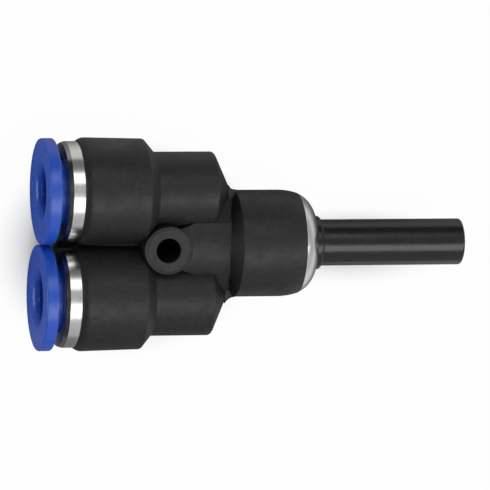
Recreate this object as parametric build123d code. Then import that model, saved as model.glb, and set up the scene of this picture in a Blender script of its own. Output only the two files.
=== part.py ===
from build123d import *
from math import cos, radians, sin, sqrt, tan
import os

# Y connector for 6 mm air tube: two push-in ports side by side, facing -X,
# and one plug-in stem on the centre line, facing +X. Millimetres.
# X runs along the tubes, Y from one port to the other, Z along the mounting hole.
# The origin is on the axis of the mounting hole, half way through the body.

# Tube and release ring, radii built outwards from the tube
tube_od = 6.0
tube_clearance = 0.1
sleeve_wall = 1.2
lip_clearance = 0.08
bead_height = 0.35
bead_clearance = 0.1
bead_length = 0.85
sleeve_relief = 0.12
bead_play = 0.05
nose_wall = 0.85
nose_gap = 0.3
flange_thickness = 1.65
flange_inset = 0.08
flange_edge_radius = 0.24
release_gap = 0.97
entry_radius = 1.1
slit_width = 0.7
slit_count = 4
slit_overrun = 0.3

# Guide ring, pressed into the mouth of each port
guide_wall = 0.42
guide_visible_length = 2.1
guide_inset = 0.48
guide_nose_length = 0.55
guide_nose_drop = 0.18
guide_nose_radius = 0.1
guide_joint_width = 0.12
guide_joint_depth = 0.12
guide_mouth_radius = 0.28
guide_lip_length = 1.0
spigot_length = 3.4
press_clearance = 0.03

# Lock claw, its seat and the lip seal, in their order behind the guide ring
claw_thickness = 0.25
claw_tooth_count = 12
claw_slot_width = 0.55
claw_bite = 0.1
claw_rim_width = 0.9
claw_lean = 59.0
claw_flex_room = 0.55
seat_length = 1.85
seat_clearance = 0.1
seat_edge_step = 0.35
seal_length = 1.8
seal_play = 0.1
seal_squeeze = 0.1

# Body, port side
collet_wall = 1.73
collet_draft = 0.18
mouth_crown_length = 1.0
mouth_step = 0.04
port_gap = 0.04
port_web_height = 0.8
port_web_width = 2.1
port_web_setback = 1.2
collet_floor = 1.2
boss_to_collet = 2.8
shoulder_angle = 50.0
shoulder_edge_radius = 0.35
tube_wall = 1.94
tube_barrel_length = 7.8
tube_barrel_edge_radius = 0.45
tip_angle = 64.0
tube_stop_step = 1.0
tube_stop_from_boss = 1.0
channel_tip_wall = 1.2

# Body, middle
boss_d = 6.3
boss_height = 9.5
boss_chamfer = 0.12
boss_line_d = 5.72
boss_line_width = 0.12
boss_line_depth = 0.1
mounting_hole_d = 3.2
mounting_hole_chamfer = 0.04
core_step = 0.25
core_crown = 0.9
core_start = 1.2
core_foot = 0.2
core_neck_inset = 0.9
core_neck_length = 2.4
crotch_radius = 1.5
crotch_width = 1.8
crotch_depth = 2.5
cross_slot_height = 3.4
cross_slot_inset = 0.1
cross_slot_wall = 0.9
cross_slot_overlap = 0.5

# Stem, radii built outwards from the stem
stem_od = 6.0
stem_wall = 1.0
stem_reach = 18.9
stem_tip_radius = 0.35
collar_height = 0.47
collar_reach = 1.0
ring_running_clearance = 0.08
groove_step = 0.12
o_ring_section = 1.78
o_ring_clearance = 0.03
land_clearance = 0.08
land_length = 1.0
groove_play = 0.12
stem_end_play = 0.15

# Body, stem side
stem_barrel_wall = 1.5
stem_barrel_offset = 0.57
stem_shoulder_angle = 62.0
stem_barrel_length = 8.44
crown_length = 2.6
crown_drop = 0.41
cavity_floor = 1.3

# Stem ring, pressed into the stem end
ring_spigot_length = 3.0
dome_length = 2.06
dome_face_wall = 0.45
dome_bulge = 0.4
dome_rim_step = 0.03

# Derived radii of a port
bore_r = tube_od / 2 + tube_clearance
neck_r = bore_r + sleeve_wall
lip_r = neck_r + lip_clearance
bead_r = neck_r + bead_height
guide_bore_r = bead_r + bead_clearance
spigot_r = guide_bore_r + guide_wall
collet_bore_r = spigot_r + press_clearance
collet_barrel_r = collet_bore_r + collet_wall
collet_end_r = collet_barrel_r - collet_draft
flange_r = collet_barrel_r - flange_inset
guide_r = collet_barrel_r - guide_inset
tube_barrel_r = bore_r + tube_wall
channel_r = bore_r - tube_stop_step
port_y = collet_barrel_r + port_gap / 2
core_top_z = boss_height / 2 - core_step

# Derived places of a port along X, from the mounting hole towards the mouth
collet_end_x = -boss_to_collet
collet_bottom_x = collet_end_x - collet_floor
seal_front_x = collet_bottom_x - seal_length - seal_play
seat_front_x = seal_front_x - seat_length
claw_front_x = seat_front_x - claw_thickness
body_front_x = claw_front_x - spigot_length
guide_front_x = body_front_x - guide_visible_length
lip_back_x = guide_front_x + guide_lip_length
flange_back_x = guide_front_x - release_gap
flange_front_x = flange_back_x - flange_thickness

# Derived sizes of the claw teeth: a cone that leans inwards behind the rim
claw_rim_r = spigot_r - claw_rim_width
claw_tip_r = tube_od / 2 - claw_bite
claw_run = (claw_rim_r - claw_tip_r) / tan(radians(claw_lean))
claw_skew = claw_thickness / sin(radians(claw_lean))
nose_r = bore_r + nose_wall
nose_x = claw_front_x + (claw_rim_r - nose_r) / tan(radians(claw_lean)) - nose_gap

# Derived places behind the mounting hole
tube_barrel_x = collet_end_x + (collet_end_r - tube_barrel_r) / tan(radians(shoulder_angle))
tube_barrel_end_x = tube_barrel_x + tube_barrel_length
tip_x = tube_barrel_end_x + tube_barrel_r / tan(radians(tip_angle))
stem_barrel_x = tip_x + stem_barrel_offset
stem_barrel_end_x = stem_barrel_x + stem_barrel_length
cavity_floor_x = stem_barrel_x + cavity_floor

# Derived sizes of the stem and its ring
stem_r = stem_od / 2
stem_bore_r = stem_r - stem_wall
journal_r = stem_r + collar_height
ring_bore_r = journal_r + ring_running_clearance
groove_r = journal_r + groove_step
cavity_r = groove_r + o_ring_section + o_ring_clearance
land_r = cavity_r - land_clearance
stem_barrel_r = cavity_r + stem_barrel_wall
stem_barrel_end_r = stem_barrel_r - crown_drop
ring_spigot_x = stem_barrel_end_x - ring_spigot_length
dome_end_x = stem_barrel_end_x + dome_length
stem_start_x = cavity_floor_x + stem_end_play
groove_x = stem_start_x + land_length
groove_end_x = groove_x + o_ring_section + groove_play
thrust_collar_end_x = ring_spigot_x - stem_end_play
stem_end_x = dome_end_x + collar_reach + stem_reach


def section(*points):
    return make_face(Polyline(*points, close=True))


def corners(face, x, r):
    return face.vertices().sort_by_distance(Vector(x, r, 0))[0]


def turned(face, y=0.0):
    return Pos(0, y, 0) * revolve(face, Axis.X)


def drum(x_start, x_end, radius, y=0.0):
    return turned(section((x_start, 0), (x_end, 0), (x_end, radius), (x_start, radius)), y)


# Outside of one port: crowned mouth, collet barrel, shoulder, tube barrel, pointed end
def port_outside(y):
    crown_x = body_front_x + mouth_crown_length
    outline = Polyline(
        (crown_x, collet_barrel_r),
        (collet_end_x, collet_end_r),
        (tube_barrel_x, tube_barrel_r),
        (tube_barrel_end_x, tube_barrel_r),
        (tip_x, 0),
        (body_front_x, 0),
        (body_front_x, guide_r + mouth_step),
    )
    crown = TangentArc((crown_x, collet_barrel_r), (body_front_x, guide_r + mouth_step), tangent=(-1, 0))
    profile = make_face(outline.edges() + crown.edges())
    profile = fillet(corners(profile, collet_end_x, collet_end_r), shoulder_edge_radius)
    profile = fillet(corners(profile, tube_barrel_end_x, tube_barrel_r), tube_barrel_edge_radius)
    return turned(profile, y)


# Room inside one port: collet bore, tube seat up to its stop, air channel
def port_inside(y):
    stop_x = tube_stop_from_boss
    channel_end_x = tip_x - (channel_r + channel_tip_wall) / tan(radians(tip_angle))
    room = drum(body_front_x - 1, collet_bottom_x, collet_bore_r, y)
    room += drum(collet_bottom_x - 1, stop_x, bore_r, y)
    room += drum(stop_x - 1, channel_end_x, channel_r, y)
    return room


# Stem barrel: shoulder cone, straight wall, crowned end
def stem_barrel():
    cone_r = core_top_z - core_step
    cone_run = (stem_barrel_r - cone_r) / tan(radians(stem_shoulder_angle))
    crown_x = stem_barrel_end_x - crown_length
    outline = Polyline(
        (stem_barrel_end_x, stem_barrel_end_r),
        (stem_barrel_end_x, 0),
        (stem_barrel_x - cone_run, 0),
        (stem_barrel_x - cone_run, cone_r),
        (stem_barrel_x, stem_barrel_r),
        (crown_x, stem_barrel_r),
    )
    crown = TangentArc((crown_x, stem_barrel_r), (stem_barrel_end_x, stem_barrel_end_r), tangent=(1, 0))
    return turned(make_face(outline.edges() + crown.edges()))


# Core between the barrels: a crowned top just below the boss's face, and flanks
# that run down at 45 degrees to the points of the two tube barrels. It widens
# from the boss to its full width along a neck, seen from above
def core():
    edge_z = core_top_z - core_crown
    edge_y = port_y - edge_z
    foot_y = port_y - core_foot
    top = ThreePointArc((-edge_y, edge_z), (0, core_top_z), (edge_y, edge_z))
    right = Polyline((edge_y, edge_z), (foot_y, core_foot), (foot_y, -core_foot), (edge_y, -edge_z))
    bottom = ThreePointArc((edge_y, -edge_z), (0, -core_top_z), (-edge_y, -edge_z))
    left = Polyline((-edge_y, -edge_z), (-foot_y, -core_foot), (-foot_y, core_foot), (-edge_y, edge_z))
    outline = make_face(top.edges() + right.edges() + bottom.edges() + left.edges())
    solid = Pos(core_start, 0, 0) * extrude(Plane.YZ * outline, stem_barrel_x - core_start)
    neck_y = edge_y - core_neck_inset
    for side in (1, -1):
        corner = Polyline(
            (core_start, side * neck_y),
            (core_start, side * port_y),
            (core_start + core_neck_length, side * port_y),
            (core_start + core_neck_length, side * edge_y),
            close=True,
        )
        solid -= extrude(make_face(corner), boss_height / 2, both=True)
    return solid


# Rounded web in the crotch between a tube barrel's point and the stem barrel
def crotch(side):
    top = stem_barrel_r
    rise = crotch_radius * (1 - cos(radians(tip_angle)))
    run = crotch_radius * sin(radians(tip_angle))
    corner_x = tip_x + (port_y - top) / tan(radians(tip_angle))
    end_x = corner_x + crotch_radius * tan(radians(tip_angle / 2))
    arc = RadiusArc((end_x, top), (end_x - run, top + rise), crotch_radius)
    floor = top - crotch_depth
    low = Polyline((end_x - run, top + rise), (end_x - run, floor), (end_x, floor), (end_x, top))
    web = extrude(make_face(arc.edges() + low.edges()), crotch_width / 2, both=True)
    return web if side > 0 else mirror(web, Plane.XZ)


# Boss: round column with a fine line sunk into each face, just inside the rim
def boss():
    column = Cylinder(boss_d / 2, boss_height)
    column = chamfer(column.edges().filter_by(GeomType.CIRCLE), boss_chamfer)
    line = Cylinder(boss_line_d / 2, 2 * boss_line_depth)
    line -= Cylinder(boss_line_d / 2 - boss_line_width, 2 * boss_line_depth)
    for side in (1, -1):
        column -= Pos(0, 0, side * boss_height / 2) * line
    return column


def mounting_hole():
    hole = Cylinder(mounting_hole_d / 2, boss_height + 2)
    for side in (1, -1):
        rim_z = side * (boss_height / 2 - mounting_hole_chamfer / 2)
        wide = mounting_hole_d / 2 + mounting_hole_chamfer
        lower = mounting_hole_d / 2 if side > 0 else wide
        upper = wide if side > 0 else mounting_hole_d / 2
        hole += Pos(0, 0, rim_z) * Cone(lower, upper, mounting_hole_chamfer)
    return hole


# Flat slot from the stem cavity back to both air channels
def cross_slot():
    half_width = cavity_r - cross_slot_inset
    start_x = mounting_hole_d / 2 + cross_slot_wall
    shape = Plane.YZ * SlotOverall(2 * half_width, cross_slot_height)
    return Pos(start_x, 0, 0) * extrude(shape, cavity_floor_x + cross_slot_overlap - start_x)


def y_body():
    solid = stem_barrel() + core() + boss()
    for side in (1, -1):
        solid += port_outside(side * port_y)
        solid += crotch(side)
    web_length = -body_front_x - port_web_setback
    web = Box(web_length, port_web_width, port_web_height, align=(Align.MAX, Align.CENTER, Align.CENTER))
    solid += web
    for side in (1, -1):
        solid -= port_inside(side * port_y)
    solid -= drum(cavity_floor_x, stem_barrel_end_x + 1, cavity_r)
    solid -= cross_slot()
    solid -= mounting_hole()
    return solid


# Release ring: flange, neck, retaining bead and slit sleeve with a narrow nose
def release_ring(y):
    bead_x = lip_back_x + bead_play
    bead_end_x = bead_x + bead_length
    relief_r = neck_r - sleeve_relief
    profile = section(
        (flange_front_x, bore_r),
        (flange_front_x, flange_r),
        (flange_back_x, flange_r),
        (flange_back_x, neck_r),
        (bead_x, neck_r),
        (bead_x, bead_r),
        (bead_end_x - bead_height, bead_r),
        (bead_end_x + sleeve_relief, relief_r),
        (nose_x - (relief_r - nose_r), relief_r),
        (nose_x, nose_r),
        (nose_x, bore_r),
    )
    profile = fillet(corners(profile, flange_front_x, flange_r), flange_edge_radius)
    profile = fillet(corners(profile, flange_back_x, flange_r), flange_edge_radius)
    profile = fillet(corners(profile, flange_front_x, bore_r), entry_radius)
    ring = revolve(profile, Axis.X)
    slit_length = nose_x - lip_back_x + slit_overrun
    slit = Box(slit_length + 1, 2 * bead_r + 1, slit_width, align=(Align.MAX, Align.CENTER, Align.CENTER))
    for turn in range(slit_count // 2):
        ring -= Pos(nose_x + 1, 0, 0) * Rot(45 + 360 * turn / slit_count, 0, 0) * slit
    return Pos(0, y, 0) * ring


# Guide ring: conical nose, visible band with a fine groove where it meets the body,
# an inner lip behind the nose, and a spigot in the body
def guide_ring(y):
    nose_end_r = guide_r - guide_nose_drop
    joint_x = body_front_x - guide_joint_width
    joint_r = guide_r - guide_joint_depth
    profile = section(
        (guide_front_x + guide_nose_length, guide_r),
        (joint_x, guide_r),
        (joint_x, joint_r),
        (body_front_x, joint_r),
        (body_front_x, spigot_r),
        (claw_front_x, spigot_r),
        (claw_front_x, guide_bore_r),
        (lip_back_x, guide_bore_r),
        (lip_back_x, lip_r),
        (guide_front_x, lip_r),
        (guide_front_x, nose_end_r),
    )
    profile = fillet(corners(profile, guide_front_x, nose_end_r), guide_nose_radius)
    profile = fillet(corners(profile, guide_front_x, lip_r), guide_mouth_radius)
    return turned(profile, y)


# Lock claw: flat rim and a ring of spring teeth that lean in behind it
def lock_claw(y):
    tip_x_front = claw_front_x + claw_run
    blank = revolve(
        section(
            (claw_front_x, spigot_r),
            (claw_front_x, claw_rim_r),
            (tip_x_front, claw_tip_r),
            (tip_x_front + claw_skew, claw_tip_r),
            (claw_front_x + claw_thickness, claw_rim_r + 0.02),
            (claw_front_x + claw_thickness, spigot_r),
        ),
        Axis.X,
    )
    cut = Box(4 * claw_run, claw_slot_width, claw_rim_r, align=(Align.CENTER, Align.CENTER, Align.MIN))
    root = Cylinder(claw_slot_width / 2, 4 * claw_run, rotation=(0, 90, 0))
    cut += Pos(0, 0, claw_rim_r) * root
    for tooth in range(claw_tooth_count):
        blank -= Pos(claw_front_x, 0, 0) * Rot((tooth + 0.5) * 360 / claw_tooth_count, 0, 0) * cut
    return Pos(0, y, 0) * blank


# Seat ring: backs the claw's rim and leaves the teeth room to bend
def claw_seat(y):
    back_x = seal_front_x
    cone_start_r = claw_rim_r + claw_slot_width / 2 + seat_clearance
    inner_r = bore_r + seat_clearance
    cone_x = back_x - claw_flex_room
    profile = section(
        (seat_front_x, spigot_r),
        (seat_front_x, cone_start_r),
        (cone_x, inner_r + seat_edge_step),
        (cone_x, inner_r),
        (back_x, inner_r),
        (back_x, spigot_r),
    )
    return turned(profile, y)


# Lip seal: outer wall on the collet bore, one lip that leans towards the stop
def lip_seal(y):
    front_x = seal_front_x + seal_play / 2
    back_x = front_x + seal_length
    tip_r = tube_od / 2 - seal_squeeze
    depth = collet_bore_r - tip_r
    profile = section(
        (front_x, collet_bore_r - press_clearance),
        (back_x, collet_bore_r - press_clearance),
        (back_x, tip_r + 0.68 * depth),
        (back_x - 0.45 * seal_length, tip_r + 0.55 * depth),
        (back_x, tip_r + 0.1),
        (back_x, tip_r),
        (back_x - 0.15 * seal_length, tip_r),
        (front_x + 0.2 * seal_length, tip_r + 0.3 * depth),
        (front_x, tip_r + 0.3 * depth),
    )
    return turned(profile, y)


# Stem ring: domed cap with a spigot pressed into the stem barrel
def stem_ring():
    rim_r = stem_barrel_end_r - dome_rim_step
    face_r = ring_bore_r + dome_face_wall
    middle_x = (stem_barrel_end_x + dome_end_x) / 2
    middle_r = (rim_r + face_r) / 2
    chord = sqrt((dome_end_x - stem_barrel_end_x) ** 2 + (rim_r - face_r) ** 2)
    bulge_x = middle_x + dome_bulge * (rim_r - face_r) / chord
    bulge_r = middle_r + dome_bulge * (dome_end_x - stem_barrel_end_x) / chord
    dome = ThreePointArc((stem_barrel_end_x, rim_r), (bulge_x, bulge_r), (dome_end_x, face_r))
    rest = Polyline(
        (dome_end_x, face_r),
        (dome_end_x, ring_bore_r),
        (ring_spigot_x, ring_bore_r),
        (ring_spigot_x, cavity_r - press_clearance),
        (stem_barrel_end_x, cavity_r - press_clearance),
        (stem_barrel_end_x, rim_r),
    )
    return turned(make_face(dome.edges() + rest.edges()))


# Plug-in stem: inner land, O-ring groove, thrust collar, journal, stem tube
def plug_stem():
    journal_end_x = dome_end_x + collar_reach
    profile = section(
        (stem_start_x, stem_bore_r),
        (stem_start_x, land_r),
        (groove_x, land_r),
        (groove_x, groove_r),
        (groove_end_x, groove_r),
        (groove_end_x, land_r),
        (thrust_collar_end_x, land_r),
        (thrust_collar_end_x, journal_r),
        (journal_end_x, journal_r),
        (journal_end_x, stem_r),
        (stem_end_x, stem_r),
        (stem_end_x, stem_bore_r),
    )
    profile = fillet(corners(profile, journal_end_x, journal_r), 0.9 * collar_height)
    profile = fillet(corners(profile, stem_end_x, stem_r), stem_tip_radius)
    return turned(profile)


# O-ring in the middle of the stem's groove
def stem_o_ring():
    middle_x = (groove_x + groove_end_x) / 2
    ring = Torus(groove_r + o_ring_clearance / 2 + o_ring_section / 2, o_ring_section / 2)
    return Pos(middle_x, 0, 0) * Rot(0, 90, 0) * ring


def save(shape, name):
    shape.label = name
    export_step(shape, "parts/" + name + ".step")
    print(name, len(shape.solids()), "solids, volume", round(shape.volume, 2), "mm3")


os.makedirs("parts", exist_ok=True)
save(y_body(), "y_body")
for letter, side in (("a", 1), ("b", -1)):
    save(release_ring(side * port_y), "release_ring_" + letter)
    save(guide_ring(side * port_y), "guide_ring_" + letter)
    save(lock_claw(side * port_y), "lock_claw_" + letter)
    save(claw_seat(side * port_y), "claw_seat_" + letter)
    save(lip_seal(side * port_y), "lip_seal_" + letter)
save(stem_ring(), "stem_ring")
save(plug_stem(), "plug_stem")
save(stem_o_ring(), "stem_o_ring")
print("release travel", round(release_gap - 0.07, 3), "stem end", round(stem_end_x, 3))
print("port pitch", round(2 * port_y, 3), "flange front", round(flange_front_x, 3))
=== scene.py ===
from math import cos, pi, radians, sin

import bpy
from mathutils import Matrix, Vector


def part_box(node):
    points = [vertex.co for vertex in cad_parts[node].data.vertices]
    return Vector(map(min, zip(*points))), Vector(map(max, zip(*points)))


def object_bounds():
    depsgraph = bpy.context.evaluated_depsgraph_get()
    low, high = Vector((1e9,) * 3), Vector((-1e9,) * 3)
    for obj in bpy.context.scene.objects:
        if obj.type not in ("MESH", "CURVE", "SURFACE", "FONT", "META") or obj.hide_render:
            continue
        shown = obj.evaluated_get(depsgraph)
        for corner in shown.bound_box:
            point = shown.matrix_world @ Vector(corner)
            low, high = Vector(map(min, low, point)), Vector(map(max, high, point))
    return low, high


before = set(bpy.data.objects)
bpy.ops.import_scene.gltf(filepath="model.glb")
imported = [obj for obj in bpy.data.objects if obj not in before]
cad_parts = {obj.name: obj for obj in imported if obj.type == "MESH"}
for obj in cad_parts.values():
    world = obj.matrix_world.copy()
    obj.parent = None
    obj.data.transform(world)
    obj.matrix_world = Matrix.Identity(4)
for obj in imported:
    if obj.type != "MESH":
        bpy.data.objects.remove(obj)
cad_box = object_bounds()

MM = 0.001

# Camera: nearly above the part, turned, tipped and rolled by the photograph's angles
YAW, PITCH, ROLL = 0.23744, 0.19011, 0.03724
DISTANCE = 800.0 * MM
TARGET = Vector((11.13, -0.25, 0.0)) * MM
IMAGE_PX, FOCAL_PX = 490.0, 6190.0
SENSOR_WIDTH = 36.0
CLIP_START, CLIP_END = 0.05, 5.0

BACK = Vector((-sin(YAW) * cos(PITCH), sin(PITCH), cos(YAW) * cos(PITCH)))
LEVEL_UP = (Vector((0, 1, 0)) - BACK * BACK.y).normalized()
LEVEL_RIGHT = LEVEL_UP.cross(BACK)
RIGHT = LEVEL_RIGHT * cos(ROLL) + LEVEL_UP * sin(ROLL)
UP = LEVEL_UP * cos(ROLL) - LEVEL_RIGHT * sin(ROLL)

# The left lamp stands low before the ports and runs across both
BEFORE_PORTS = Vector((-1.0, 0.0, 0.14)).normalized()
ACROSS_PORTS = Vector((0.0, -1.0, 0.0))

# Polymer surface: cloudy colour, smeared gloss and a fine moulded grain
CLOUD = dict(scale=1500.0, detail=5.0, rough=0.8)
CLOUD_DARK_AT, CLOUD_LIGHT_AT = 0.36, 0.64
SMEAR = dict(scale=420.0, detail=4.0, rough=0.6)
SMEAR_LOW_AT, SMEAR_HIGH_AT = 0.3, 0.7
GRAIN_DETAIL, GRAIN_ROUGH = 5.0, 0.65
GRAIN_HEIGHT = 0.1 * MM

# Metal surface: cloudy plating over fine marks that run round the X axis
PLATING = dict(scale=500.0, detail=3.0, rough=0.6)
PLATING_DARK, PLATING_LIGHT = (0.62, 0.62, 0.61), (0.7, 0.7, 0.695)
TURNED = dict(scale=900.0, detail=3.0, rough=0.6, stretch=(14.0, 1.0, 1.0))
TURNED_GLOSS, TURNED_DULL = 0.18, 0.27
TURNED_STRENGTH, TURNED_HEIGHT = 0.25, 0.02 * MM
METAL_LOW_AT, METAL_HIGH_AT = 0.3, 0.7
# Painted shade darkens the plating colour on the guide ring's slanted nose
NOSE_LENGTH, NOSE_PAINTED_SHADE, NOSE_EDGE = 0.56 * MM, 0.45, 0.03 * MM

# Floor: a soft plain white, with painted shade in ellipses round the parts that stand on it.
# Each ellipse is its place, its stretch, and where its shade ends fully and starts to clear.
FLOOR_HALF, FLOOR_DROP = 1.5, 0.05 * MM
FLOOR_ROUGHNESS = 0.9
# Painted reflection: glossy rays see the floor in the darker REFLECTED_COLOUR instead of its own
# colour
FLOOR_COLOUR, REFLECTED_COLOUR = 0.93, 0.22
FLOOR_GLOW = 0.97
# Painted shadow: the floor colour goes dark in this ellipse under the part, so the gaps and the
# hole look dark
PAINTED_SHADOW_UNDER = (Vector((-4.5, -2.0, 0)) * MM, (0.42, 1, 0), 3.2 * MM, 4.8 * MM)
BODY_SHADOW = (Vector((-3.0, -2.0, 0)) * MM, (0.8, 1, 0), 6.0 * MM, 15.0 * MM)
STEM_SHADOW = (Vector((27.0, -2.0, 0)) * MM, (0.35, 1, 0), 0.5 * MM, 5.5 * MM)
# Painted reflection: as mirrored, the floor's glow fades near the part and rises towards the stem
# and port a
REFLECTED_SHADOW = (Vector((8.0, 0, 0)) * MM, (0.35, 1, 0), 9.0 * MM, 26.0 * MM)
REFLECTED_RISE = Vector((0.8, 0.6, 0))
REFLECTED_FROM, REFLECTED_TO = -8.0 * MM, 12.0 * MM
REFLECTED_LOW, REFLECTED_HIGH = 0.054, 0.765

# Room: brightness along the camera's up and along its right, from -1 to 1
ROOM_BY_HEIGHT = [(-1.0, 0.55), (-0.7, 0.62), (-0.2, 0.52), (0.5, 0.5), (0.78, 0.2), (1.0, 0.14)]
ROOM_BY_SIDE = [(-0.9, 1.0), (-0.8, 0.12), (-0.08, 0.12), (0.05, 1.0)]


def feed(nt, socket, value):
    if isinstance(value, bpy.types.NodeSocket):
        nt.links.new(value, socket)
    else:
        socket.default_value = value


def maths(nt, operation, *values):
    node = nt.nodes.new("ShaderNodeMath")
    node.operation = operation
    for socket, value in zip(node.inputs, values):
        feed(nt, socket, value)
    return node.outputs[0]


def vector_maths(nt, operation, *values):
    node = nt.nodes.new("ShaderNodeVectorMath")
    node.operation = operation
    for socket, value in zip(node.inputs, values):
        feed(nt, socket, value)
    gives_number = operation in ("DOT_PRODUCT", "LENGTH")
    return node.outputs["Value" if gives_number else "Vector"]


def mapped(nt, value, start, end, low=0.0, high=1.0, smooth=False):
    node = nt.nodes.new("ShaderNodeMapRange")
    if smooth:
        node.interpolation_type = "SMOOTHSTEP"
    node.inputs["From Min"].default_value = start
    node.inputs["From Max"].default_value = end
    node.inputs["To Min"].default_value = low
    node.inputs["To Max"].default_value = high
    nt.links.new(value, node.inputs["Value"])
    return node.outputs["Result"]


def ramp(nt, source, stops):
    node = nt.nodes.new("ShaderNodeValToRGB")
    marks = node.color_ramp.elements
    while len(marks) < len(stops):
        marks.new(0.5)
    for mark, (place, colour) in zip(marks, stops):
        mark.position = place
        mark.color = (colour, colour, colour, 1) if isinstance(colour, float) else (*colour, 1)
    nt.links.new(source, node.inputs[0])
    return node.outputs[0]


def position(nt):
    return nt.nodes.new("ShaderNodeTexCoord").outputs["Object"]


def noise(nt, scale, detail, rough, stretch=None):
    place = position(nt)
    if stretch:
        mapping = nt.nodes.new("ShaderNodeMapping")
        mapping.inputs["Scale"].default_value = stretch
        nt.links.new(place, mapping.inputs[0])
        place = mapping.outputs[0]
    node = nt.nodes.new("ShaderNodeTexNoise")
    node.inputs["Scale"].default_value = scale
    node.inputs["Detail"].default_value = detail
    node.inputs["Roughness"].default_value = rough
    nt.links.new(place, node.inputs["Vector"])
    return node.outputs["Fac"]


def bump(nt, bsdf, source, strength, height):
    node = nt.nodes.new("ShaderNodeBump")
    node.inputs["Strength"].default_value = strength
    node.inputs["Distance"].default_value = height
    nt.links.new(source, node.inputs["Height"])
    nt.links.new(node.outputs[0], bsdf.inputs["Normal"])


def fade_in(nt, place, stretch, start, end):
    offset = vector_maths(nt, "SUBTRACT", position(nt), place)
    spread = vector_maths(nt, "MULTIPLY", offset, stretch)
    return mapped(nt, vector_maths(nt, "LENGTH", spread), start, end, smooth=True)


def material(name):
    made = bpy.data.materials.new(name)
    made.use_nodes = True
    nt = made.node_tree
    nt.nodes.clear()
    out = nt.nodes.new("ShaderNodeOutputMaterial")
    bsdf = nt.nodes.new("ShaderNodeBsdfPrincipled")
    nt.links.new(bsdf.outputs[0], out.inputs[0])
    return made, nt, bsdf, out


def polymer(name, dark, light, gloss, dull, grain, grain_scale, shine=0.5):
    made, nt, bsdf, _ = material(name)
    bsdf.inputs["Specular IOR Level"].default_value = shine
    cloud = noise(nt, **CLOUD)
    colour = ramp(nt, cloud, [(CLOUD_DARK_AT, dark), (CLOUD_LIGHT_AT, light)])
    nt.links.new(colour, bsdf.inputs["Base Color"])
    smear = noise(nt, **SMEAR)
    roughness = ramp(nt, smear, [(SMEAR_LOW_AT, gloss), (SMEAR_HIGH_AT, dull)])
    nt.links.new(roughness, bsdf.inputs["Roughness"])
    bump(nt, bsdf, noise(nt, grain_scale, GRAIN_DETAIL, GRAIN_ROUGH), grain, GRAIN_HEIGHT)
    return made


def plated(name, nose_end=None):
    made, nt, bsdf, _ = material(name)
    bsdf.inputs["Metallic"].default_value = 1.0
    cloud = noise(nt, **PLATING)
    colour = ramp(nt, cloud, [(METAL_LOW_AT, PLATING_DARK), (METAL_HIGH_AT, PLATING_LIGHT)])
    turned = noise(nt, **TURNED)
    roughness = ramp(nt, turned, [(METAL_LOW_AT, TURNED_GLOSS), (METAL_HIGH_AT, TURNED_DULL)])
    nt.links.new(roughness, bsdf.inputs["Roughness"])
    bump(nt, bsdf, turned, TURNED_STRENGTH, TURNED_HEIGHT)
    if nose_end is not None:
        # Painted shade: the plating colour on the slanted nose in front of the band is darkened
        axes = nt.nodes.new("ShaderNodeSeparateXYZ")
        nt.links.new(position(nt), axes.inputs[0])
        tone = mapped(nt, axes.outputs["X"], nose_end - NOSE_EDGE, nose_end, NOSE_PAINTED_SHADE)
        colour = vector_maths(nt, "MULTIPLY", colour, tone)
    nt.links.new(colour, bsdf.inputs["Base Color"])
    return made


def dress():
    black = polymer(
        "black_polymer", (0.0145, 0.0145, 0.015), (0.0235, 0.0235, 0.024),
        gloss=0.36, dull=0.56, grain=0.6, grain_scale=1300.0, shine=0.31,
    )
    stem = polymer(
        "stem_polymer", (0.003, 0.003, 0.0034), (0.006, 0.006, 0.0064),
        gloss=0.17, dull=0.27, grain=0.2, grain_scale=1100.0, shine=0.52,
    )
    blue = polymer(
        "blue_polymer", (0.018, 0.084, 0.52), (0.023, 0.098, 0.58),
        gloss=0.24, dull=0.31, grain=0.03, grain_scale=900.0,
    )
    plate = plated("plated_brass")
    guide = plated("plated_guide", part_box("guide_ring_a")[0][0] + NOSE_LENGTH)
    spring = plated("spring_steel")
    seat = polymer(
        "seat_polymer", (0.7, 0.7, 0.67), (0.78, 0.78, 0.75),
        gloss=0.45, dull=0.55, grain=0.2, grain_scale=1500.0,
    )
    rubber = polymer(
        "seal_rubber", (0.02, 0.02, 0.02), (0.028, 0.028, 0.028),
        gloss=0.5, dull=0.65, grain=0.3, grain_scale=1500.0,
    )
    look = {"y_body": black, "plug_stem": stem, "stem_ring": plate, "stem_o_ring": rubber}
    for port in "ab":
        look["release_ring_" + port] = blue
        look["guide_ring_" + port] = guide
        look["lock_claw_" + port] = spring
        look["claw_seat_" + port] = seat
        look["lip_seal_" + port] = rubber
    for node, surface in look.items():
        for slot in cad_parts[node].material_slots:
            slot.material = surface


def camera():
    data = bpy.data.cameras.new("camera")
    data.sensor_width = SENSOR_WIDTH
    data.lens = FOCAL_PX / IMAGE_PX * SENSOR_WIDTH
    data.clip_start = CLIP_START
    data.clip_end = CLIP_END
    cam = bpy.data.objects.new("camera", data)
    cam.matrix_world = placed(TARGET + BACK * DISTANCE, RIGHT, UP, BACK)
    bpy.context.scene.collection.objects.link(cam)
    bpy.context.scene.camera = cam


def placed(place, x_axis, y_axis, z_axis):
    m = Matrix((x_axis, y_axis, z_axis)).transposed().to_4x4()
    m.translation = place
    return m


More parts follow.
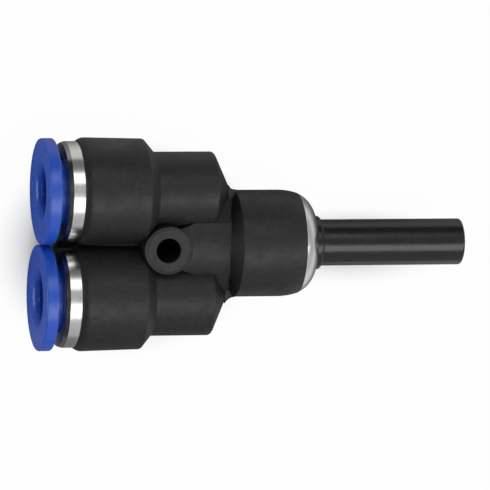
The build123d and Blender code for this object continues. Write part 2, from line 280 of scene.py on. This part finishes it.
def floor_material():
    made, nt, bsdf, out = material("floor")
    bsdf.inputs["Roughness"].default_value = FLOOR_ROUGHNESS
    path = nt.nodes.new("ShaderNodeLightPath")
    mirrored = path.outputs["Is Glossy Ray"]
    seen = maths(nt, "MAXIMUM", path.outputs["Is Camera Ray"], path.outputs["Is Transmission Ray"])

    # Colour: painted shadow in the gaps under the part, and a painted darker reflection where metal
    # mirrors it
    clear_of_painted_shadow = fade_in(nt, *PAINTED_SHADOW_UNDER)
    colour = maths(nt, "MULTIPLY_ADD", mirrored, REFLECTED_COLOUR - FLOOR_COLOUR, FLOOR_COLOUR)
    nt.links.new(maths(nt, "MULTIPLY", colour, clear_of_painted_shadow), bsdf.inputs["Base Color"])

    # Glow: plain white as seen, fading in ellipses round the part into painted shade over the
    # part's rendered shadow
    shadow = maths(nt, "MULTIPLY", fade_in(nt, *BODY_SHADOW), fade_in(nt, *STEM_SHADOW))
    clear = maths(nt, "MULTIPLY", shadow, clear_of_painted_shadow)

    # Glow as mirrored: a painted reflection that rises towards the stem and port a, and fades into
    # painted shade near the part
    rise = vector_maths(nt, "DOT_PRODUCT", position(nt), REFLECTED_RISE)
    side = mapped(nt, rise, REFLECTED_FROM, REFLECTED_TO, REFLECTED_LOW, REFLECTED_HIGH)
    sided = maths(nt, "MULTIPLY", side, fade_in(nt, *REFLECTED_SHADOW))
    reflected = maths(nt, "MULTIPLY", mirrored, sided)

    share = maths(nt, "MULTIPLY", maths(nt, "MULTIPLY_ADD", seen, clear, reflected), FLOOR_GLOW)
    glow = nt.nodes.new("ShaderNodeEmission")
    glow.inputs["Strength"].default_value = 1.0
    mix = nt.nodes.new("ShaderNodeMixShader")
    nt.links.new(share, mix.inputs[0])
    nt.links.new(bsdf.outputs[0], mix.inputs[1])
    nt.links.new(glow.outputs[0], mix.inputs[2])
    nt.links.new(mix.outputs[0], out.inputs[0])
    return made


def stage():
    mesh = bpy.data.meshes.new("floor")
    r = FLOOR_HALF
    z = cad_box[0][2] - FLOOR_DROP
    mesh.from_pydata([(-r, -r, z), (r, -r, z), (r, r, z), (-r, r, z)], [], [(0, 1, 2, 3)])
    mesh.materials.append(floor_material())
    floor = bpy.data.objects.new("floor", mesh)
    bpy.context.scene.collection.objects.link(floor)


def along(nt, direction, stops):
    coord = nt.nodes.new("ShaderNodeTexCoord")
    part = vector_maths(nt, "DOT_PRODUCT", coord.outputs["Generated"], direction)
    return ramp(nt, mapped(nt, part, -1.0, 1.0), [((a + 1) / 2, b) for a, b in stops])


def room():
    world = bpy.data.worlds.new("world")
    bpy.context.scene.world = world
    world.use_nodes = True
    nt = world.node_tree
    height = along(nt, UP, ROOM_BY_HEIGHT)
    side = along(nt, RIGHT, ROOM_BY_SIDE)
    nt.links.new(vector_maths(nt, "MULTIPLY", height, side), nt.nodes["Background"].inputs[0])


def raised(degrees):
    """A direction from the part, turned from the camera's place towards its up."""
    return BACK * cos(radians(degrees)) + UP * sin(radians(degrees))


def strip(name, towards, along_side, distance, start, end, width, radiance):
    """A lamp that faces the part from a direction and runs from start to end beside it."""
    data = bpy.data.lights.new(name, "AREA")
    data.shape = "RECTANGLE"
    data.size = end - start
    data.size_y = width
    data.energy = radiance * pi * data.size * width
    lamp = bpy.data.objects.new(name, data)
    middle = towards * distance + along_side * (start + end) / 2
    lamp.matrix_world = placed(middle, along_side, towards.cross(along_side), towards)
    bpy.context.scene.collection.objects.link(lamp)


def lights():
    # The first two give the metal and the stem their streaks, the third reaches into the bores
    # and the left one lights the faces of the release rings.
    strip("upper", raised(32), RIGHT, distance=0.3, start=0.01, end=0.155, width=0.13, radiance=1.8)
    strip("lower", raised(-33), RIGHT, distance=0.45, start=0.0, end=2.0, width=0.26, radiance=2.4)
    strip("front", raised(8), RIGHT, distance=0.5, start=-0.01, end=0.01, width=0.02, radiance=40.0)
    strip(
        "left", BEFORE_PORTS, ACROSS_PORTS,
        distance=0.5, start=-0.2, end=0.2, width=0.16, radiance=4.0,
    )


dress()
camera()
stage()
room()
lights()
bpy.context.scene.view_settings.view_transform = "Standard"
